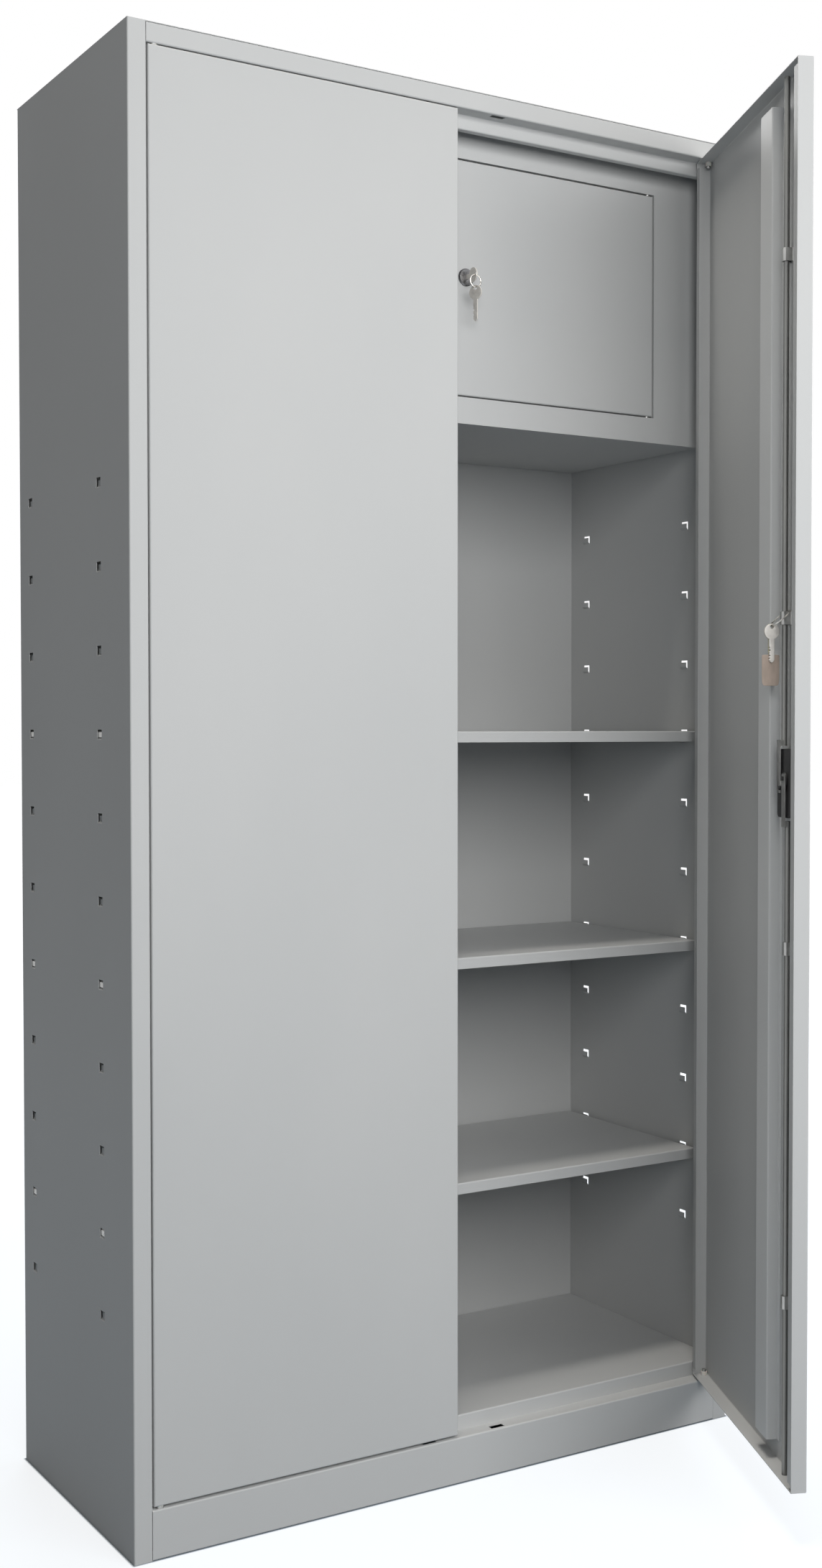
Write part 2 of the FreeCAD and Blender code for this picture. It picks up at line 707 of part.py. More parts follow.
def lock_screw():
    """Screw head that holds the cam on the spindle."""
    top = CAM_BACK + SCREW_HEIGHT
    head = peg(LOCK_X, LOCK_HEIGHT, CAM_BACK, top, SCREW_RADIUS)
    return head.makeChamfer(SCREW_HEIGHT / 2, level_edges(head, 1, top))


def rod_end(way):
    """Middle of a lock rod's inner end, drawn in."""
    return Vector(LOCK_X + way * ROD_SIDE, ROD_Y, LOCK_HEIGHT + way * ROD_START)


def fork_foot(way, back):
    """Block over the flat at a lock rod's inner end, out to a depth."""
    knee = rod_end(way)
    half = Vector(ROD_RADIUS, 0, 0)
    far = Vector(knee.x, back, knee.z + way * FORK_FOOT) + half
    return span(Vector(knee.x, ROD_FLAT_Y, knee.z) - half, far)


def lock_rod(way):
    """Lock rod, drawn in: round bar with a flat for its fork at the inner end."""
    end = DOOR_HIGH if way > 0 else DOOR_LOW
    knee = rod_end(way)
    bar = rod(knee, (0, 0, way), ROD_RADIUS, abs(end - knee.z) - ROD_TIP)
    return bar.cut(fork_foot(way, ROD_Y + 2 * ROD_RADIUS))


def rod_fork(way):
    """Forked strap over a drive pin, with a foot welded on the flat of its lock rod."""
    spot = crank_spot(way)
    front = CAM_BACK + CRANK_SLACK
    back = front + FORK_SHEET
    half_slot = CRANK_PIN_RADIUS + CRANK_SLACK
    inner = LOCK_X + way * (SCREW_RADIUS + CRANK_SLACK)
    slot_end = LOCK_X + way * (CRANK_RADIUS + half_slot)
    outer = slot_end + way * FORK_MARGIN
    start = spot.z - way * (half_slot + FORK_MARGIN)
    elbow = rod_end(way).z + way * FORK_FOOT
    strap = span((inner, front, start), (outer, back, elbow))
    slot_mouth = (inner - way * SHEET, front - SHEET, spot.z - half_slot)
    slot = span(slot_mouth, (slot_end, back + SHEET, spot.z + half_slot))
    return joined([strap.cut(slot), fork_foot(way, back)])


def rod_guides():
    """Guide straps of both lock rods, near the lock and near the rods' ends."""
    upper = [rod_guide(upper_rod_x(), z) for z in (LOCK_HEIGHT + GUIDE_NEAR, DOOR_HIGH - GUIDE_END)]
    lower = [rod_guide(lower_rod_x(), z) for z in (LOCK_HEIGHT - GUIDE_NEAR, DOOR_LOW + GUIDE_END)]
    return Part.makeCompound(upper + lower)


def slide_bolt(way):
    """Slide bolt of the left door, drawn in, with its finger tab."""
    end = (DOOR_HIGH if way > 0 else DOOR_LOW) - way * ROD_TIP
    bar = rod((-BOLT_X, ROD_Y, end), (0, 0, -way), ROD_RADIUS, BOLT_LENGTH)
    tab_z = end - way * (BOLT_LENGTH - BOLT_TAIL)
    tab = peg(-BOLT_X, tab_z, ROD_Y, ROD_Y + BOLT_TAB_LENGTH, BOLT_TAB_RADIUS)
    return joined([bar, tab])


def bolt_guides():
    """Guide straps of the left door's two slide bolts."""
    heights = (DOOR_HIGH - BOLT_GUIDE_DROP, DOOR_LOW + BOLT_GUIDE_DROP)
    return Part.makeCompound([rod_guide(-BOLT_X, z) for z in heights])


def box_opening():
    """Left, right, bottom and top of the inner box's doorway."""
    return (
        BOX_DOOR_LEFT - BOX_DOOR_GAP,
        BOX_DOOR_RIGHT + BOX_DOOR_GAP,
        BOX_DOOR_LOW - BOX_DOOR_GAP,
        BOX_DOOR_HIGH + BOX_DOOR_GAP,
    )


def box_front_frame():
    """Front of the inner box: face with a doorway, reveal round it and flanges behind."""
    left, right, low, high = box_opening()
    edge = WALL - SHEET
    deep = BOX_FRONT + BOX_FLANGE
    face = box((BOX_X, BOX_FRONT, BOX_LOW), (edge, BOX_FRONT + SHEET, TOP_UNDER))
    reveal = box((left - SHEET, BOX_FRONT, low - SHEET), (right + SHEET, BOX_REVEAL, high + SHEET))
    doorway = box((left, BOX_FRONT - SHEET, low), (right, BOX_REVEAL + SHEET, high))
    sill = box((BOX_X, BOX_FRONT, BOX_LOW), (edge, deep, BOX_LOW + SHEET))
    post = box((BOX_X, BOX_FRONT, BOX_LOW), (BOX_X + SHEET, deep, TOP_UNDER))
    stop_low = (left - SHEET, BOX_REVEAL, low - SHEET)
    stop = box(stop_low, (left + BOX_STOP, BOX_REVEAL + SHEET, high + SHEET))
    return joined([joined([face, reveal, sill, post]).cut(doorway), stop])


def box_side_wall():
    """Left wall of the inner box, with a flange welded under the top panel."""
    outer = BOX_X + SHEET
    inner = outer + SHEET
    rear = REAR_EDGE - SHEET
    wall = box((outer, BOX_FRONT + SHEET, BOX_LOW + SHEET), (inner, rear, TOP_UNDER))
    flange_front = (outer - BOX_FLANGE, BOX_FRONT + BOX_FLANGE, TOP_UNDER - SHEET)
    return joined([wall, box(flange_front, (inner, rear, TOP_UNDER))])


def box_floor():
    """Floor tray of the inner box, with its edges folded up against the walls."""
    low = (BOX_X + 2 * SHEET, BOX_FRONT + SHEET, BOX_LOW + SHEET)
    return tray(low, (WALL, REAR_EDGE, BOX_LOW + SHEET + BOX_FLANGE), 2, True)


def box_pins():
    """Pivot pins of the inner door, in its doorway."""
    left, right, low, high = box_opening()
    size = (BOX_DOOR_GAP, BOX_PIN_RADIUS, BOX_PIN_LENGTH, BOX_PIN_SHOULDER_RADIUS)
    pins = [
        hinge_pin(BOX_PIVOT_X, BOX_PIVOT_Y, low, 1, *size),
        hinge_pin(BOX_PIVOT_X, BOX_PIVOT_Y, high, -1, *size),
    ]
    return Part.makeCompound(pins)


def box_door():
    """Inner door: tray with holes for its pivot pins and its cam lock."""
    low = (BOX_DOOR_LEFT, BOX_FRONT, BOX_DOOR_LOW)
    high = (BOX_DOOR_RIGHT, BOX_FRONT + BOX_DOOR_THICKNESS, BOX_DOOR_HIGH)
    bore = BOX_PIN_RADIUS + PIN_CLEARANCE
    holes = [flange_hole(BOX_PIVOT_X, BOX_PIVOT_Y, z, bore) for z in (BOX_DOOR_LOW, BOX_DOOR_HIGH)]
    lock_hole = peg(BOX_LOCK_X, BOX_LOCK_Z, BOX_FRONT - SHEET, BOX_FRONT + 2 * SHEET, BARREL_RADIUS)
    return tray(low, high, 1, True).cut(Part.makeCompound(holes + [lock_hole]))


def box_lock_body():
    """Barrel of the inner door's cam lock, with its rim outside the door."""
    rim = peg(BOX_LOCK_X, BOX_LOCK_Z, BOX_LOCK_FRONT, BOX_FRONT, BARREL_RADIUS + RIM_LAP)
    rim = rim.makeChamfer(BOX_LOCK_RIM / 3, level_edges(rim, 1, BOX_LOCK_FRONT))
    end = BOX_CAM_FRONT - SEAT_CLEARANCE
    barrel = peg(BOX_LOCK_X, BOX_LOCK_Z, BOX_LOCK_FRONT, end, BARREL_RADIUS)
    bore = peg(BOX_LOCK_X, BOX_LOCK_Z, BOX_LOCK_FRONT, end, BOX_PLUG_RADIUS + PIN_CLEARANCE)
    return joined([rim, barrel]).cut(bore)


def box_lock_nut():
    """Six-sided nut that clamps the lock to the inner door's skin."""
    corner = (BARREL_RADIUS + NUT_WALL) / math.cos(math.pi / NUT_SIDES)
    outline = Part.Face(Part.makePolygon(regular_points(NUT_SIDES, corner)))
    outline.translate(Vector(BOX_LOCK_X, BOX_LOCK_Z, 0))
    front = BOX_FRONT + SHEET
    back = front + NUT_HEIGHT
    prism = inward(outline, front, back)
    return prism.cut(peg(BOX_LOCK_X, BOX_LOCK_Z, front, back, BARREL_RADIUS))


def box_lock_plug():
    """Key plug of the inner lock, with its keyway."""
    plug = peg(BOX_LOCK_X, BOX_LOCK_Z, BOX_LOCK_FRONT, BOX_CAM_FRONT, BOX_PLUG_RADIUS)
    key_end = BOX_LOCK_FRONT + KEY_BLADE_LENGTH + KEY_PLAY
    return plug.cut(keyway(BOX_LOCK_X, BOX_LOCK_Z, BOX_LOCK_FRONT, key_end))


def box_lock_cam():
    """Cam arm behind the inner lock. It hangs down unlocked and turns behind the stop."""
    radius = BOX_CAM_WIDTH / 2
    half = (BOX_CAM_REACH + radius) / 2
    outline = stadium(BOX_LOCK_X, BOX_LOCK_Z + radius - half, half, radius)
    return inward(outline, BOX_CAM_FRONT, BOX_CAM_FRONT + BOX_CAM_SHEET)


def key():
    """Flat key in the plane of Y and Z: bow about the origin, blade along +Y, hole at -Y."""
    half = KEY_BLADE_WIDTH / 2
    bow = rod((-KEY_SHEET / 2, 0, 0), (1, 0, 0), KEY_BOW_RADIUS, KEY_SHEET)
    blade_end = (KEY_SHEET / 2, KEY_REACH + KEY_BLADE_LENGTH, half)
    blade = box((-KEY_SHEET / 2, 0, -half), blade_end)
    hole = rod((-KEY_SHEET, -KEY_HOLE_OFFSET, 0), (1, 0, 0), KEY_HOLE_RADIUS, 2 * KEY_SHEET)
    return joined([bow, blade]).cut(hole)


def box_key():
    """Key in the inner lock."""
    solid = key()
    solid.translate(Vector(BOX_LOCK_X, KEY_BOW_Y, BOX_LOCK_Z))
    return solid


def hung_key(wire):
    """Key that hangs blade down, with its hole over a ring's wire."""
    solid = key()
    solid.rotate(Vector(0, 0, 0), Vector(1, 0, 0), -90)
    solid.translate(wire - Vector(0, 0, RING_DROP + KEY_HOLE_OFFSET))
    return solid


def wire_ring(centre, radius, normal):
    """Ring of drawn wire about a centre, square to a direction."""
    wire = Part.Face(Part.makePolygon(regular_points(RING_SIDES, RING_WIRE)))
    wire.translate(Vector(radius, 0, 0))
    ring = wire.revolve(Vector(0, 0, 0), Vector(0, 1, 0), 360)
    ring.Placement = Placement(centre, Rotation(Vector(0, 1, 0), normal))
    return ring


def box_ring_wire():
    """Where the ring's wire lies in the bow of the key in the lock."""
    return Vector(BOX_LOCK_X, KEY_BOW_Y - KEY_HOLE_OFFSET, BOX_LOCK_Z - RING_DROP)


def box_key_ring():
    """Wire ring that hangs in the bow of the key in the lock."""
    centre = box_ring_wire() - Vector(0, 0, RING_RADIUS)
    return wire_ring(centre, RING_RADIUS, Vector(0, 1, 0))


def box_hanging_key():
    """Second key, on the low side of the ring and turned a little towards the left."""
    wire = box_ring_wire() - Vector(0, 0, 2 * RING_RADIUS)
    solid = hung_key(wire)
    solid.rotate(wire, Vector(0, 0, 1), HUNG_KEY_TURN)
    return solid


def spare_ring_seat():
    """Where the spare keys' ring lies on the rod guide, between the rod and the door's skin."""
    top = LOCK_HEIGHT + GUIDE_NEAR + GUIDE_LENGTH / 2
    y = (DOOR_SKIN + ROD_Y - ROD_RADIUS) / 2
    return Vector(upper_rod_x(), y, top + RING_WIRE + SPARE_RING_LIFT)


def spare_ring_wire():
    """Low point of the spare keys' ring, where the keys and the tag hang."""
    tilt = math.radians(SPARE_RING_TILT)
    across_ring = Vector(0, math.cos(tilt), -math.sin(tilt))
    return spare_ring_seat() + across_ring * (2 * SPARE_RING_RADIUS)


def spare_key_ring():
    """Ring round the upper rod, leaning on its guide, closed door."""
    centre = (spare_ring_seat() + spare_ring_wire()) * 0.5
    tilt = math.radians(SPARE_RING_TILT)
    normal = Vector(0, math.sin(tilt), math.cos(tilt))
    return wire_ring(centre, SPARE_RING_RADIUS, normal)


def spare_keys():
    """Two spare keys side by side on their ring, closed door."""
    wire = spare_ring_wire()
    return Part.makeCompound([hung_key(wire - Vector(x, 0, 0)) for x in (0, SPARE_SPACING)])


def spare_key_tag():
    """Blank card tag on a narrow strap, beside the spare keys, closed door."""
    x = upper_rod_x() + SPARE_SPACING - TAG_SHEET / 2
    hole = spare_ring_wire() - Vector(0, 0, RING_DROP)
    neck = hole.z - TAG_STRAP_LENGTH
    half = TAG_STRAP_WIDTH / 2
    strap_top = (x + TAG_SHEET, hole.y + half, hole.z + half)
    strap = box((x, hole.y - half, neck - TAG_CORNER), strap_top)
    card_low = (x, hole.y - TAG_WIDTH / 2, neck - TAG_HEIGHT)
    card = box(card_low, (x + TAG_SHEET, hole.y + TAG_WIDTH / 2, neck))
    corners = [e for e in card.Edges if abs(e.tangentAt(e.FirstParameter).x) > 0.5]
    card = card.makeFillet(TAG_CORNER, corners)
    eyelet = rod((x - SHEET, hole.y, hole.z), (1, 0, 0), KEY_HOLE_RADIUS, TAG_SHEET + 2 * SHEET)
    return joined([strap, card]).cut(eyelet)


def opened(shape):
    """A piece of the right door, swung to the angle at which the door stands."""
    turned = shape.copy()
    turned.rotate(Vector(PIVOT_X, PIVOT_Y, 0), Vector(0, 0, 1), DOOR_OPEN_ANGLE)
    return turned


def all_pieces():
    """Every piece of the cabinet under its own name."""
    pieces = {
        "right_side_panel": side_panel(),
        "left_side_panel": mirrored(side_panel()),
        "back_panel": back_panel(),
        "top_panel": top_panel(),
        "header_rail": header_rail(),
        "plinth_sill": plinth_sill(),
        "floor_panel": floor_panel(),
        "left_hinge_pins": mirrored(door_pins()),
        "right_hinge_pins": door_pins(),
        "left_door_pan": left_door_pan(),
        "left_door_stiffener": mirrored(door_stiffener()),
        "left_hinge_bushes": mirrored(door_bushes()),
        "left_bolt_guides": bolt_guides(),
        "left_upper_bolt": slide_bolt(1),
        "left_lower_bolt": slide_bolt(-1),
        "right_door_pan": opened(right_door_pan()),
        "right_door_stiffener": opened(door_stiffener()),
        "right_hinge_bushes": opened(door_bushes()),
        "lock_housing": opened(lock_housing()),
        "lock_knob": opened(lock_knob()),
        "lock_plug": opened(lock_plug()),
        "lock_cam": opened(lock_cam()),
        "lock_screw": opened(lock_screw()),
        "upper_lock_rod": opened(lock_rod(1)),
        "lower_lock_rod": opened(lock_rod(-1)),
        "upper_rod_fork": opened(rod_fork(1)),
        "lower_rod_fork": opened(rod_fork(-1)),
        "rod_guides": opened(rod_guides()),
        "spare_key_ring": opened(spare_key_ring()),
        "spare_keys": opened(spare_keys()),
        "spare_key_tag": opened(spare_key_tag()),
        "box_front_frame": box_front_frame(),
        "box_side_wall": box_side_wall(),
        "box_floor": box_floor(),
        "box_hinge_pins": box_pins(),
        "box_door": box_door(),
        "box_lock_body": box_lock_body(),
        "box_lock_nut": box_lock_nut(),
        "box_lock_plug": box_lock_plug(),
        "box_lock_cam": box_lock_cam(),
        "box_key": box_key(),
        "box_key_ring": box_key_ring(),
        "box_hanging_key": box_hanging_key(),
    }
    for name, row in SHELF_ROWS.items():
        pieces[name + "_shelf"] = shelf(row)
        pieces[name + "_shelf_clips"] = shelf_clips(row)
    return pieces


os.makedirs("parts", exist_ok=True)
for name, shape in all_pieces().items():
    shape.exportStep("parts/" + name + ".step")
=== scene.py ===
import json
import math

import bpy
import numpy as np
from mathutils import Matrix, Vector


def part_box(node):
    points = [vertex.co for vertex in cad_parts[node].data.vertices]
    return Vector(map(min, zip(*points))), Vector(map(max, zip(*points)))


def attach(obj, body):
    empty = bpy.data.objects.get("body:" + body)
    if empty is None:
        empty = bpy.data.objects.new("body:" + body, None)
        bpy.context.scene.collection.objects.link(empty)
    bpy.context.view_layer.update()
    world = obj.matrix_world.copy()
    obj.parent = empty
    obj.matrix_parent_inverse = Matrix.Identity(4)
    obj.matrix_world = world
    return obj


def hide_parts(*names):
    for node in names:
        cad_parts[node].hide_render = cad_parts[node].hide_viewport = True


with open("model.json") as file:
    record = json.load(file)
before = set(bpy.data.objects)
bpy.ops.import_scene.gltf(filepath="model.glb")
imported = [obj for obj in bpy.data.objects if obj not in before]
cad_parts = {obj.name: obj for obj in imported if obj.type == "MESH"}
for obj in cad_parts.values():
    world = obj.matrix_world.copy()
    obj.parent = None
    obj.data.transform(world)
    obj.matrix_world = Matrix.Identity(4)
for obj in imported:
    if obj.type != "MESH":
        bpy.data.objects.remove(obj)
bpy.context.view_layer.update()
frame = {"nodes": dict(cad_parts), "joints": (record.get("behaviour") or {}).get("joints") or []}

nodes = frame["nodes"]


# The case is two folded sides, a back, a top, a header rail, a plinth and a floor, all 0.8 mm
# steel sheet, spot-welded and then powder-coated light grey. The coat has a fine orange-peel
# skin and a soft gloss, and the wide thin sheets between the folds are never quite flat.

def shader(tree, kind, sockets, **settings):
    """New shader node, with its settings, and its sockets linked or set to plain values."""
    made = tree.nodes.new("ShaderNode" + kind)
    for name, value in settings.items():
        setattr(made, name, value)
    for name, value in sockets.items():
        if isinstance(value, bpy.types.NodeSocket):
            tree.links.new(value, made.inputs[name])
        else:
            made.inputs[name].default_value = value
    return made


def grain(tree, waves, detail=2.0):
    """Noise between 0 and 1 on Object coordinates, with so many waves per metre on X, Y and Z."""
    place = shader(tree, "TexCoord", {}).outputs["Object"]
    scaled = shader(tree, "Mapping", {"Vector": place, "Scale": waves}).outputs["Vector"]
    sockets = {"Vector": scaled, "Scale": 1.0, "Detail": detail}
    return shader(tree, "TexNoise", sockets).outputs["Fac"]


NOISE_LOW, NOISE_HIGH = 0.3, 0.7


def finish(name, tones, patches, roughness, bumps, **plain):
    """Material whose colour and roughness wander between two values each, with layers of bump.

    Colour and roughness follow one noise of so many patches per metre, stretched from its
    usual span. A bump layer is its waves per metre on X, Y and Z and its height in metres.
    Plain values go straight to the shader's sockets.
    """
    material = bpy.data.materials.new(name)
    material.use_nodes = True
    tree = material.node_tree
    skin = tree.nodes["Principled BSDF"]
    noise = grain(tree, patches, detail=4.0)
    spread = {"Value": noise, "From Min": NOISE_LOW, "From Max": NOISE_HIGH}
    wander = shader(tree, "MapRange", spread).outputs["Result"]
    ramp = shader(tree, "ValToRGB", {"Fac": wander})
    for stop, tone in zip(ramp.color_ramp.elements, tones):
        stop.color = (*tone, 1.0)
    tree.links.new(ramp.outputs["Color"], skin.inputs["Base Color"])
    gloss = {"Value": wander, "To Min": roughness[0], "To Max": roughness[1]}
    tree.links.new(shader(tree, "MapRange", gloss).outputs["Result"], skin.inputs["Roughness"])
    normal = None
    for waves, height in bumps:
        sockets = {"Height": grain(tree, waves), "Distance": height, "Strength": 1.0}
        if normal:
            sockets["Normal"] = normal
        normal = shader(tree, "Bump", sockets).outputs["Normal"]
    tree.links.new(normal, skin.inputs["Normal"])
    for socket, value in plain.items():
        skin.inputs[socket.replace("_", " ")].default_value = value
    return material


def dress(material, *names):
    """Gives CAD nodes their finish."""
    for name in names:
        nodes[name].material_slots[0].material = material


def coat(name, tones):
    """Powder coat on sheet: broad waves of the sheet under a fine orange-peel skin."""
    sheet_waves = (2.1, 2.1, 1.3), 0.0011
    orange_peel = (750, 750, 750), 0.00005
    return finish(
        name,
        tones,
        patches=(2.6, 2.6, 1.4),
        roughness=(0.4, 0.5),
        bumps=[sheet_waves, orange_peel],
        Specular_IOR_Level=0.1,
    )


powder_coat = coat("powder_coat", tones=[(0.57, 0.577, 0.575), (0.607, 0.61, 0.605)])
dress(powder_coat, "left_side_panel", "right_side_panel", "back_panel", "top_panel")
dress(powder_coat, "header_rail", "plinth_sill", "floor_panel")


# Three shelves, each one sheet folded down on all sides, coated like the case. They lie on clips
# of zinc-plated steel sheet that hook over the lugs in the slots of the side walls.

def metal(name, tones, patches, roughness, bumps, bare=1.0):
    """Bare or plated metal finish; one less than wholly bare is partly matt, its lighter tone a
    painted sheen.
    """
    return finish(name, tones, patches, roughness, bumps, Metallic=bare)


zinc_plate = metal(
    "zinc_plate",
    tones=[(0.34, 0.34, 0.33), (0.48, 0.48, 0.47)],
    patches=(90, 90, 90),
    roughness=(0.38, 0.55),
    bumps=[((400, 400, 60), 0.00004)],
)
dress(powder_coat, "upper_shelf", "middle_shelf", "lower_shelf")
dress(zinc_plate, "upper_shelf_clips", "middle_shelf_clips", "lower_shelf_clips")


# Each door turns on two turned and plated pins, on the sill and under the header, in bushes
# of natural nylon pressed into the door's end flanges.

nylon = finish(
    "nylon",
    tones=[(0.74, 0.73, 0.68), (0.82, 0.81, 0.77)],
    patches=(60, 60, 60),
    roughness=(0.42, 0.55),
    bumps=[((900, 900, 900), 0.00003)],
    Subsurface_Weight=0.15,
    Subsurface_Scale=0.002,
)
dress(zinc_plate, "left_hinge_pins", "right_hinge_pins")
dress(nylon, "left_hinge_bushes", "right_hinge_bushes")


# The left door is a shallow folded tray with a hat-section strip fixed down its inside; the strip's
# coat is a shade lighter, painted light for its raised face. Two plated slide bolts in strap guides
# hold it to the header and the sill.

WELD_GAP = 1e-6
SHARP_EDGE = math.radians(50)


def soften(width, *names):
    """Breaks the sharp edges of CAD nodes by a small width, as tumbling or moulding does."""
    for name in names:
        weld = nodes[name].modifiers.new("Weld", "WELD")
        weld.merge_threshold = WELD_GAP
        bevel = nodes[name].modifiers.new("Bevel", "BEVEL")
        bevel.width = width
        bevel.segments = 2
        bevel.limit_method = "ANGLE"
        bevel.angle_limit = SHARP_EDGE
        bevel.harden_normals = True


# Painted light: the strip's coat is lighter than the door's, so its raised face looks more brightly
# lit.
painted_light_strip_coat = coat("painted_light_strip_coat", tones=[(0.75, 0.757, 0.755), (0.79, 0.793, 0.787)])
dress(powder_coat, "left_door_pan")
dress(painted_light_strip_coat, "left_door_stiffener")
dress(zinc_plate, "left_bolt_guides", "left_upper_bolt", "left_lower_bolt")
soften(0.0005, "left_upper_bolt", "left_lower_bolt")


# The right door is the same tray with the same strip and an opening for the lock. It stands
# open as photographed.

dress(powder_coat, "right_door_pan")
# Painted light: the same lighter strip coat as on the left door.
dress(painted_light_strip_coat, "right_door_stiffener")


# The rod lock: a black moulded finger cup with a wing knob, a chromed key plug, a blackened cam
# with two drive pins, and two dull drawn rods with welded forks that run in strap guides.

moulded_black = finish(
    "moulded_black",
    tones=[(0.016, 0.016, 0.017), (0.028, 0.028, 0.029)],
    patches=(35, 35, 35),
    roughness=(0.38, 0.55),
    bumps=[((1400, 1400, 1400), 0.00004)],
)
chrome = metal(
    "chrome",
    tones=[(0.66, 0.66, 0.67), (0.74, 0.74, 0.75)],
    patches=(120, 120, 120),
    roughness=(0.08, 0.2),
    bumps=[((600, 600, 600), 0.000006)],
)
blackened = finish(
    "blackened_steel",
    tones=[(0.045, 0.045, 0.046), (0.07, 0.07, 0.07)],
    patches=(120, 120, 120),
    roughness=(0.42, 0.6),
    bumps=[((700, 700, 700), 0.00002)],
)
drawn_bar = metal(
    "drawn_bar",
    tones=[(0.2, 0.2, 0.195), (0.27, 0.27, 0.26)],
    patches=(90, 90, 12),
    roughness=(0.5, 0.65),
    bumps=[((500, 500, 30), 0.00001)],
)
dress(moulded_black, "lock_housing", "lock_knob")
dress(chrome, "lock_plug")
dress(blackened, "lock_cam")
dress(drawn_bar, "upper_lock_rod", "lower_lock_rod")
dress(zinc_plate, "upper_rod_fork", "lower_rod_fork", "rod_guides")
soften(0.0006, "lock_housing", "lock_knob")
soften(0.0003, "lock_plug", "lock_cam", "upper_rod_fork", "lower_rod_fork")

joints = {joint["name"]: joint for joint in frame["joints"]}
door_inside = -np.array(joints["lock_knob_turn"]["axis"])
door_across = np.array(joints["spare_keys_swing"]["axis"])
up = np.array([0.0, 0.0, 1.0])


def middle(name):
    """Middle of a CAD node's box."""
    low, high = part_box(name)
    return np.array((low + high) / 2)


def shell(rows, wrap=False):
    """Closed skin over a grid of points: each row is a loop, and quads join it to the next row.

    With wrap the last row joins the first, otherwise a face closes each end.
    """
    count, around = rows.shape[:2]
    index = np.arange(count * around).reshape(count, around)
    here = index if wrap else index[:-1]
    there = np.roll(index, -1, 0) if wrap else index[1:]
    quads = np.stack([here, np.roll(here, -1, 1), np.roll(there, -1, 1), there], -1)
    faces = quads.reshape(-1, 4).tolist()
    if not wrap:
        faces += [index[0, ::-1].tolist(), index[-1].tolist()]
    return rows.reshape(-1, 3), faces


def placed(skin, origin, x, y, z):
    """The same skin with its own origin and axes laid into the frame."""
    points, faces = skin
    return origin + points @ np.array([x, y, z]), faces


SMOOTH_EDGE = math.radians(40)


def piece(name, skins, material, body, slot, *replaced):
    """Object from closed skins, with its finish, on the body it moves with, for nodes it replaces."""
    points, faces = [], []
    for skin_points, skin_faces in skins:
        start = sum(map(len, points))
        faces += [[start + corner for corner in face] for face in skin_faces]
        points.append(skin_points)
    mesh = bpy.data.meshes.new(name)
    mesh.from_pydata(np.concatenate(points), [], faces)
    made = bpy.data.objects.new(name, mesh)
    bpy.context.collection.objects.link(made)
    bpy.context.view_layer.objects.active = made
    bpy.ops.object.mode_set(mode="EDIT")
    bpy.ops.mesh.select_all(action="SELECT")
    bpy.ops.mesh.normals_make_consistent(inside=False)
    bpy.ops.object.mode_set(mode="OBJECT")
    mesh.shade_smooth()
    mesh.set_sharp_from_angle(angle=SMOOTH_EDGE)
    mesh.materials.append(material)
    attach(made, body)
    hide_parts(*replaced)


def cross_screw(radius, height):
    """Screw head with a cross recess, its base at z = 0.

    Polar grid. The crown falls off as the square of the radius and a rounded rim leads down
    to the base. The recess is the deeper of two crossed grooves that end at half the radius.
    """
    turn = np.linspace(0, math.tau, 64, endpoint=False)
    crown_share = np.concatenate([np.linspace(0.03, 0.7, 16), np.linspace(0.75, 0.97, 6)])
    share = np.append(crown_share, [1.0, 1.0])[:, None]
    fall, rim, recess = 0.3, 0.6, 0.6
    crown = np.append(1 - fall * crown_share ** 2, [rim, 0.0])[:, None]
    x = radius * share * np.cos(turn)
    y = radius * share * np.sin(turn)
    arm, reach = 0.13 * radius, 0.55 * radius
    groove = [np.exp(-(a / arm) ** 4 - (b / reach) ** 8) for a, b in ((x, y), (y, x))]
    z = height * (crown - recess * np.maximum(*groove) * (share < 1))
    return shell(np.stack([x, y, z], -1))


SCREW_RADIUS = 0.0034
SCREW_HEIGHT = 0.0022
screw_base = middle("lock_screw") - door_inside * SCREW_HEIGHT / 2
screw = placed(cross_screw(SCREW_RADIUS, SCREW_HEIGHT), screw_base, door_across, up, door_inside)
piece("cam_screw", [screw], zinc_plate, "lock_knob", "zinc_steel", "lock_screw")


# The spare keys hang in the right door on a split ring round the upper rod: two nickel-plated keys
# cut from 2 mm sheet with a painted sheen, and a blank tan card tag on a pale yellow strap.

nickel = metal(
    "nickel",
    tones=[(0.52, 0.5, 0.46), (0.7, 0.68, 0.64)],
    patches=(160, 160, 160),
    roughness=(0.2, 0.38),
    bumps=[((900, 900, 200), 0.00003)],
)
# Painted sheen: the keys are partly matt and lighter, so their tone stands for the light their plating
# would reflect.
painted_sheen_nickel = metal(
    "painted_sheen_nickel",
    tones=[(0.66, 0.63, 0.59), (0.8, 0.77, 0.72)],
    patches=(160, 160, 160),
    roughness=(0.35, 0.55),
    bumps=[((900, 900, 200), 0.00003)],
    bare=0.4,
)


def superellipse(count, power):
    """Points round a unit superellipse: the cosine and sine of a turn, each raised to a power."""
    turn = np.linspace(0, math.tau, count, endpoint=False)
    across, upward = np.cos(turn), np.sin(turn)
    return np.sign(across) * np.abs(across) ** power, np.sign(upward) * np.abs(upward) ** power


def carried_round(turn, reach, height):
    """Grid of points: a section of reaches and heights, carried round the axis z."""
    x = np.cos(turn)[:, None] * reach
    y = np.sin(turn)[:, None] * reach
    return np.stack(np.broadcast_arrays(x, y, height), -1)


RING_WIRE = 0.0008
SPARE_RING_RADIUS = 0.015


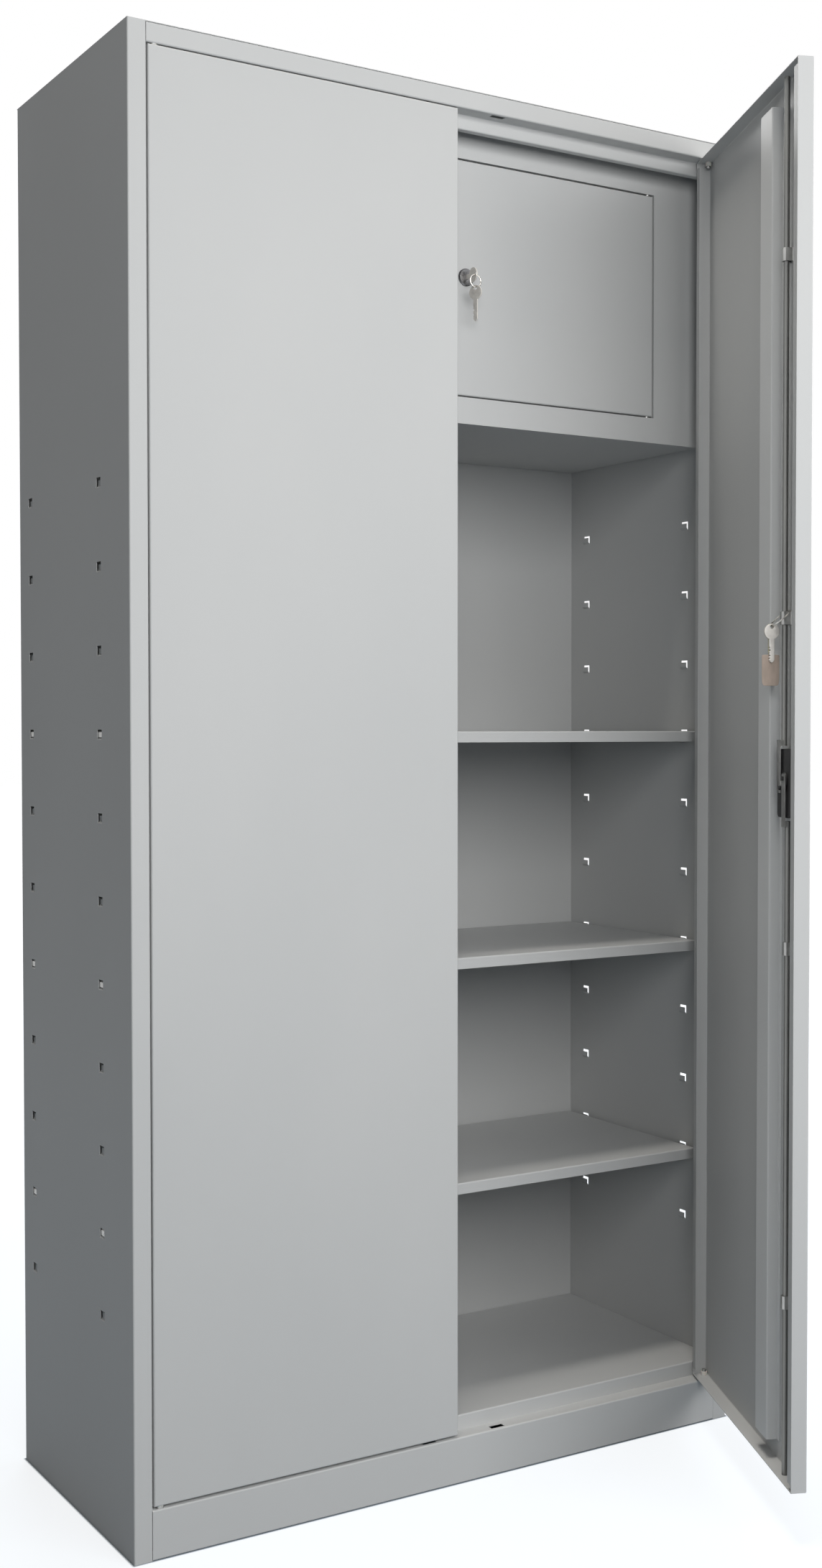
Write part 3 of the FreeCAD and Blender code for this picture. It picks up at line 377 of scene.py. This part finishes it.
def split_ring(radius, wire):
    """Split ring: flat wire wound twice round the axis z, the turns lying side by side.

    The wire's middle goes round a circle and steps across at the end of the first turn, by a
    little over its thickness. Its section is a superellipse, twice as wide as it is thick.
    """
    turn = np.linspace(0, 2 * math.tau, 193)
    step_turn = 0.9
    step = np.clip((turn - math.tau) / step_turn + 0.5, 0, 1)
    side = wire * 0.5 * (2 * step ** 2 * (3 - 2 * step) - 1)
    flat, tall = superellipse(16, 0.5)
    half_thickness = 0.47 * wire
    return shell(carried_round(turn, radius + wire * flat, side[:, None] + half_thickness * tall))


def holed_plate(outline, hole, thickness, count=128):
    """Flat plate with a round hole at its origin and rounded edges.

    outline(turn) is the reach of the plate's edge from the hole. Points are spread evenly
    along that edge. At each, a superellipse section runs between the hole and the edge.
    """
    fine = np.linspace(0, math.tau, 8001)
    edge = outline(fine)[:, None] * np.stack([np.cos(fine), np.sin(fine)], -1)
    run = np.concatenate([[0], np.cumsum(np.linalg.norm(np.diff(edge, axis=0), axis=1))])
    turn = np.interp(np.linspace(0, run[-1], count, endpoint=False), run, fine)
    flat, tall = superellipse(24, 0.2)
    reach = hole + (outline(turn)[:, None] - hole) * (0.5 + 0.5 * flat)
    return shell(carried_round(turn, reach, thickness / 2 * tall), wrap=True)


KEY_BOW = 0.0095
KEY_HOLE = 0.0025
KEY_HOLE_OFFSET = 0.006
KEY_SHEET = 0.002
KEY_BLADE = 0.0065
KEY_LENGTH = 0.0375
KEY_TIP = 0.003
KEY_FIRST_CUT = 0.0195
KEY_CUT_PITCH = 0.0033
KEY_CUT_DEPTHS = np.array([0.0012, 0.0019, 0.0009, 0.0016, 0.0012])
KEY_GROOVE_PLACE = 0.0006
KEY_GROOVE_HALF = 0.0008


def bow_outline(turn):
    """Edge of the key's bow, a circle, seen from the hole that sits off its middle."""
    aside = KEY_HOLE_OFFSET * np.sin(turn)
    return KEY_HOLE_OFFSET * np.cos(turn) + np.sqrt(KEY_BOW ** 2 - aside ** 2)


def key_blade():
    """Key's blade along x, with its thickness along z.

    A superellipse section carried along its length. One edge has five V cuts, each falling
    off with the distance from its middle, a groove runs down one face, and the tip narrows
    to a blunt point.
    """
    run = np.linspace(KEY_BOW * 0.55, KEY_LENGTH, 120)[:, None]
    cut_slope, tip_slope = 1.1, 0.8
    cuts = KEY_FIRST_CUT + KEY_CUT_PITCH * np.arange(len(KEY_CUT_DEPTHS))
    vees = np.clip(KEY_CUT_DEPTHS - np.abs(run - cuts) * cut_slope, 0, None)
    tip = np.clip(run - (KEY_LENGTH - KEY_TIP), 0, None) * tip_slope
    high = KEY_BLADE / 2 - np.maximum(vees.max(1, keepdims=True), tip)
    low = tip - KEY_BLADE / 2
    flat, tall = superellipse(32, 0.25)
    side = (high + low) / 2 + (high - low) / 2 * flat
    groove = 1 - 0.5 * np.exp(-((side - KEY_GROOVE_PLACE) / KEY_GROOVE_HALF) ** 4) * (tall > 0)
    half_thickness = 0.96 * KEY_SHEET / 2
    return shell(np.stack(np.broadcast_arrays(run, side, half_thickness * tall * groove), -1))


def key(origin, along, across, through):
    """Key with its bow about the origin and its blade along one axis."""
    hole = origin - along * KEY_HOLE_OFFSET
    bow = placed(holed_plate(bow_outline, KEY_HOLE, KEY_SHEET), hole, along, across, through)
    return [bow, placed(key_blade(), origin, along, across, through)]


RING_TILT = math.radians(40)
ring_axis = math.sin(RING_TILT) * door_inside + math.cos(RING_TILT) * up
ring_side = math.cos(RING_TILT) * door_inside - math.sin(RING_TILT) * up
spare_ring = split_ring(SPARE_RING_RADIUS, RING_WIRE)
spare_ring = placed(spare_ring, middle("spare_key_ring"), door_across, ring_side, ring_axis)
piece("spare_split_ring", [spare_ring], nickel, "right_door", "key_steel", "spare_key_ring")

SPARE_SPACING = 0.0024
spare_bow = middle("spare_keys")
spare_bow[2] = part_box("spare_keys")[1].z - KEY_BOW
spare_skins = []
for side in (-0.5, 0.5):
    bow = spare_bow + side * SPARE_SPACING * door_across
    spare_skins += key(bow, -up, door_inside, door_across)
piece("spare_cut_keys", spare_skins, painted_sheen_nickel, "spare_keys", "key_steel", "spare_keys")

card = finish(
    "tan_card",
    tones=[(0.5, 0.4, 0.33), (0.62, 0.5, 0.42)],
    patches=(130, 130, 50),
    roughness=(0.6, 0.8),
    bumps=[((1500, 1500, 500), 0.00005)],
)
yellow_strap = finish(
    "yellow_strap",
    tones=[(0.5, 0.46, 0.33), (0.66, 0.62, 0.42)],
    patches=(90, 90, 90),
    roughness=(0.4, 0.55),
    bumps=[((1200, 1200, 400), 0.00003)],
)


def rounded_outline(half_width, drop, rise):
    """Edge of an upright plate with rounded corners, seen from its hole.

    It is a rectangle softened by a power mean. The hole lies above the plate's lower edge by
    the drop and under its upper edge by the rise.
    """
    corner = 9

    def outline(turn):
        tall = np.where(np.sin(turn) > 0, rise, drop)
        sides = (np.abs(np.cos(turn)) / half_width) ** corner
        ends = (np.abs(np.sin(turn)) / tall) ** corner
        return (sides + ends) ** (-1 / corner)

    return outline


TAG_SHEET = 0.001
TAG_POINTS = 160
STRAP_RISE = 0.0035
STRAP_HOLE = 0.0025
CARD_HOLE = 0.0016
CARD_DROP = 0.039
strap_outline = rounded_outline(half_width=0.0035, drop=0.037, rise=STRAP_RISE)
strap = holed_plate(strap_outline, STRAP_HOLE, TAG_SHEET, TAG_POINTS)
tag_hole = middle("spare_key_tag")
tag_hole[2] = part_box("spare_key_tag")[1].z - STRAP_RISE
strap = placed(strap, tag_hole, door_inside, up, door_across)
piece("tag_strap", [strap], yellow_strap, "spare_keys", "tan_card", "spare_key_tag")
card_outline = rounded_outline(half_width=0.011, drop=0.033, rise=0.005)
card_plate = holed_plate(card_outline, CARD_HOLE, TAG_SHEET, TAG_POINTS)
card_plate = placed(card_plate, tag_hole - CARD_DROP * up, door_inside, up, door_across)
piece("tag_card", [card_plate], card, "spare_keys", "tan_card", "spare_key_tag")


# The inner box: a folded front frame, a side wall and a floor tray, welded in under the top
# and coated with the case. Its door is a tray on two small pins, with a cam lock in satin
# chrome whose dark tone is painted shade, standing for the dark room it reflects. The key is in
# the lock, and a second key hangs from it on a small split ring.

dress(powder_coat, "box_front_frame", "box_side_wall", "box_floor", "box_door")
dress(zinc_plate, "box_hinge_pins", "box_lock_cam", "box_lock_nut")
# Painted shade: the chrome's base colour is darkened to stand for the dark surroundings it reflects.
shade_darkened_chrome = metal(
    "shade_darkened_chrome",
    tones=[(0.16, 0.16, 0.165), (0.26, 0.26, 0.265)],
    patches=(120, 120, 120),
    roughness=(0.25, 0.35),
    bumps=[((600, 600, 600), 0.000006)],
)
dress(shade_darkened_chrome, "box_lock_body", "box_lock_plug")
soften(0.0004, "box_lock_nut")

right, back = np.array([1.0, 0.0, 0.0]), np.array([0.0, 1.0, 0.0])
key_bow = middle("box_key")
key_bow[1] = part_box("box_key")[0].y + KEY_BOW
piece("box_cut_key", key(key_bow, back, up, right), painted_sheen_nickel, "box_lock", "key_steel", "box_key")

HUNG_TURN = math.radians(25)
hung_bow = middle("box_hanging_key")
hung_bow[2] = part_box("box_hanging_key")[1].z - KEY_BOW
hung_face = math.cos(HUNG_TURN) * right + math.sin(HUNG_TURN) * back
hung_skins = key(hung_bow, -up, np.cross(up, hung_face), hung_face)
piece("box_hung_key", hung_skins, painted_sheen_nickel, "key_ring", "key_steel", "box_hanging_key")

BOX_RING_RADIUS = 0.008
box_ring = split_ring(BOX_RING_RADIUS, RING_WIRE)
box_ring = placed(box_ring, middle("box_key_ring"), right, up, back)
piece("box_split_ring", [box_ring], nickel, "key_ring", "key_steel", "box_key_ring")


# A pale floor, white behind, a broad soft light in front, a smaller one overhead and weak ones at
# the right and behind. The camera stands where the photograph was taken from.

scene = bpy.context.scene
scene.view_settings.view_transform = "Standard"
WHITE = (1.0, 1.0, 1.0, 1.0)


def worked(tree, kind, operation, *inputs):
    """Outputs of a Math or VectorMath node, with its inputs in order."""
    return shader(tree, kind, dict(enumerate(inputs)), operation=operation).outputs


def seen_directly(tree):
    """1 for rays that show the background to the eye: camera, glossy and transmission rays."""
    path = shader(tree, "LightPath", {}).outputs
    first = worked(tree, "Math", "MAXIMUM", path["Is Camera Ray"], path["Is Glossy Ray"])[0]
    return worked(tree, "Math", "MAXIMUM", first, path["Is Transmission Ray"])[0]


world = bpy.data.worlds.new("studio")
scene.world = world
world.use_nodes = True
tree = world.node_tree
tree.nodes.clear()
dim = shader(tree, "Background", {"Color": (1.0, 0.97, 0.92, 1.0), "Strength": 0.05})
white = shader(tree, "Background", {"Color": WHITE, "Strength": 1.0})
sockets = {0: seen_directly(tree), 1: dim.outputs[0], 2: white.outputs[0]}
sky = shader(tree, "MixShader", sockets)
shader(tree, "OutputWorld", {"Surface": sky.outputs[0]})

FLOOR_HALF = 30.0
corners = np.array([(-1, -1, 0), (1, -1, 0), (1, 1, 0), (-1, 1, 0)]) * FLOOR_HALF
floor_mesh = bpy.data.meshes.new("studio_floor")
floor_mesh.from_pydata(corners, [], [[0, 1, 2, 3]])
floor = bpy.data.objects.new("studio_floor", floor_mesh)
bpy.context.collection.objects.link(floor)

# The floor shows white far off, a little less near by, and painted shade: no glow under the case's
# foot, fading in just beside it.
GLOW_NEAR, GLOW_FAR = 1.2, 3.5
GLOW_LEAST = 0.8
PAINTED_SHADE_MARGIN = 0.004
floor_paint = bpy.data.materials.new("floor_paint")
floor_paint.use_nodes = True
tree = floor_paint.node_tree
tree.nodes.clear()
place = shader(tree, "TexCoord", {}).outputs["Object"]
far = worked(tree, "VectorMath", "LENGTH", place)["Value"]
fade = {"Value": far, "From Min": GLOW_NEAR, "From Max": GLOW_FAR, "To Min": GLOW_LEAST, "To Max": 1.0}
glow = shader(tree, "MapRange", fade, interpolation_type="SMOOTHSTEP").outputs["Result"]
# Painted contact shadow: the glow is cut under the case's footprint and fades in within a few
# millimetres of its edge.
foot_low, foot_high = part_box("left_side_panel")[0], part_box("right_side_panel")[1]
foot_middle, foot_half = (foot_low + foot_high) / 2, (foot_high - foot_low) / 2
foot_middle.z = foot_half.z = 0.0
reach = worked(tree, "VectorMath", "SUBTRACT", place, foot_middle)["Vector"]
reach = worked(tree, "VectorMath", "ABSOLUTE", reach)["Vector"]
reach = worked(tree, "VectorMath", "SUBTRACT", reach, foot_half)["Vector"]
reach = worked(tree, "VectorMath", "MAXIMUM", reach, (0.0, 0.0, 0.0))["Vector"]
painted_shade_edge = {"Value": worked(tree, "VectorMath", "LENGTH", reach)["Value"], "From Max": PAINTED_SHADE_MARGIN}
clear = shader(tree, "MapRange", painted_shade_edge, interpolation_type="SMOOTHSTEP").outputs["Result"]
glow_outside_painted_shade = worked(tree, "Math", "MULTIPLY", glow, clear)[0]
seen = worked(tree, "Math", "MULTIPLY", seen_directly(tree), glow_outside_painted_shade)[0]
lit = shader(tree, "Emission", {"Color": WHITE, "Strength": seen})
matt = shader(tree, "BsdfDiffuse", {"Color": (0.2, 0.24, 0.28, 1.0)})
both = shader(tree, "AddShader", {0: lit.outputs[0], 1: matt.outputs[0]})
shader(tree, "OutputMaterial", {"Surface": both.outputs[0]})
floor_mesh.materials.append(floor_paint)


def lamp(name, place, aim, size, power, colour=(1.0, 1.0, 1.0)):
    """Soft rectangular light at a place, turned to a point."""
    data = bpy.data.lights.new(name, "AREA")
    data.shape = "RECTANGLE"
    data.size, data.size_y = size
    data.energy = power
    data.color = colour
    made = bpy.data.objects.new(name, data)
    bpy.context.collection.objects.link(made)
    made.location = place
    made.rotation_euler = (Vector(aim) - Vector(place)).to_track_quat("-Z", "Y").to_euler()
    made.visible_camera = False


lamp(
    "key_light",
    place=(-0.1, -2.6, 1.85),
    aim=(0.0, 0.0, 0.9),
    size=(3.5, 1.5),
    power=80.0,
    colour=(0.995, 0.998, 1.0),
)
lamp(
    "top_light",
    place=(-0.35, -0.2, 4.7),
    aim=(-0.2, -0.2, 0.9),
    size=(1.1, 1.2),
    power=80.0,
    colour=(1.0, 0.96, 0.9),
)
lamp("right_light", place=(3.4, 0.6, 2.2), aim=(0.4, 0.2, 0.9), size=(2.0, 2.0), power=50.0)
lamp("back_light", place=(1.2, 3.4, 2.6), aim=(0.0, 0.4, 0.9), size=(2.0, 1.6), power=80.0)

CAMERA_PLACE = (-1.2752, -2.0383, 0.9813)
CAMERA_TILT = math.radians(88.4)
CAMERA_TURN = math.radians(-32.1)
camera_data = bpy.data.cameras.new("camera")
camera_data.lens = 42.667
camera_data.sensor_width = 36.0
camera_data.shift_x = -0.0289
camera_data.shift_y = -0.0014
camera = bpy.data.objects.new("camera", camera_data)
bpy.context.collection.objects.link(camera)
camera.location = CAMERA_PLACE
camera.rotation_euler = (CAMERA_TILT, 0.0, CAMERA_TURN)
scene.camera = camera
